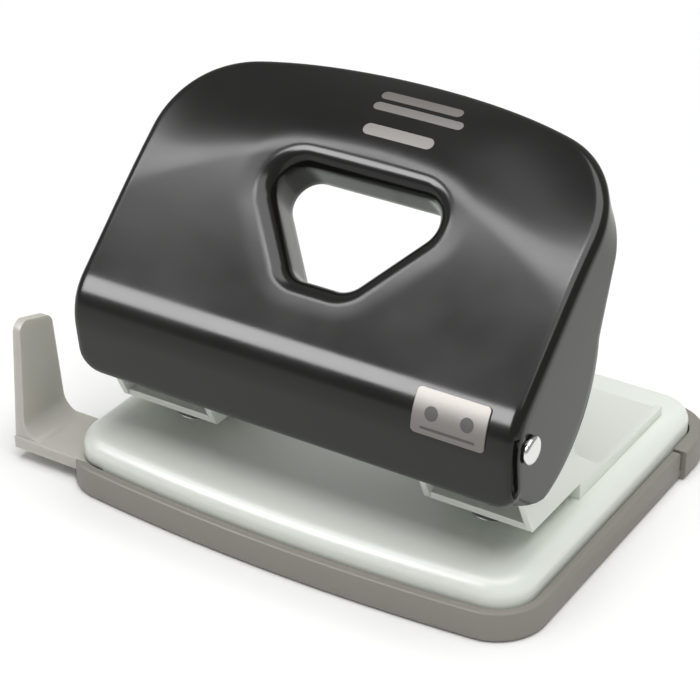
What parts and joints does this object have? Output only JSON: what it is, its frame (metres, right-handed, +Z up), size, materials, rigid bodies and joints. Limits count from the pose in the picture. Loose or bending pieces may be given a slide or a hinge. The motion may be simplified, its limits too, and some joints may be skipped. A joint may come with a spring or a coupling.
{
  "type": "hole punch",
  "caption": "Two-hole office punch: arched steel lever with a window, on a flat base with a pull-off chip tray and a sliding paper guide.",
  "frame": {"origin": "centre of the underside of the chip tray, which stands on the table", "axes": "+X to the right seen from where paper goes in, +Y away from the user, +Z up"},
  "size_m": [0.1401, 0.1021, 0.0932],
  "materials": {
    "tray_plastic": "matte moulded",
    "white_enamel": "semi-gloss white enamel",
    "black_enamel": "gloss black enamel",
    "bright_steel": "turned and polished",
    "hard_steel": "ground",
    "spring_steel": "drawn wire",
    "nylon_black": "moulded",
    "nylon_natural": "moulded",
    "guide_plastic": "translucent moulded",
    "foil_silver": "satin foil",
    "foot_rubber": "matte"
  },
  "bodies": {
    "base": {"base_plate": "white_enamel", "rubber_feet": "foot_rubber", "punch_frame_left": "white_enamel", "punch_frame_right": "white_enamel", "frame_rivets": "bright_steel", "die_left": "hard_steel", "die_right": "hard_steel", "axle": "bright_steel", "axle_caps": "bright_steel", "axle_washers": "nylon_natural", "guide_channel": "nylon_black", "guide_leaf_spring": "spring_steel", "return_spring_left": "spring_steel", "return_spring_right": "spring_steel"},
    "lever": {"lever_shell": "black_enamel", "pusher_left": "nylon_black", "pusher_right": "nylon_black", "label_plate": "foil_silver"},
    "left_pin": {"punch_pin_left": "hard_steel", "pin_cap_left": "nylon_black", "pin_clip_left": "spring_steel"},
    "right_pin": {"punch_pin_right": "hard_steel", "pin_cap_right": "nylon_black", "pin_clip_right": "spring_steel"},
    "guide": {"paper_guide": "guide_plastic"},
    "tray": {"chip_tray": "tray_plastic"}
  },
  "joints": [
    {"name": "lever_press", "type": "hinge", "parent": "base", "child": "lever", "pos_m": [0, -0.0395, 0.0445], "axis": [-1, 0, 0], "range_deg": [0, 20], "stiffness_Nm_per_rad": 1.1, "springref_deg": -16.04},
    {"name": "left_pin_slide", "type": "slide", "parent": "base", "child": "left_pin", "axis": [0, 0, -1], "range_m": [0, 0.0068], "deforming": ["return_spring_left"]},
    {"name": "right_pin_slide", "type": "slide", "parent": "base", "child": "right_pin", "axis": [0, 0, -1], "range_m": [0, 0.0068], "deforming": ["return_spring_right"]},
    {"name": "guide_slide", "type": "slide", "parent": "base", "child": "guide", "axis": [-1, 0, 0], "range_m": [-0.011, 0.03]},
    {"name": "tray_pull", "type": "slide", "parent": "base", "child": "tray", "axis": [0, 0, -1], "range_m": [0, 0.02]}
  ],
  "couplings": [
    {"joint": "left_pin_slide", "follows": "lever_press", "m_per_rad": 0.0192},
    {"joint": "right_pin_slide", "follows": "lever_press", "m_per_rad": 0.0192}
  ]
}
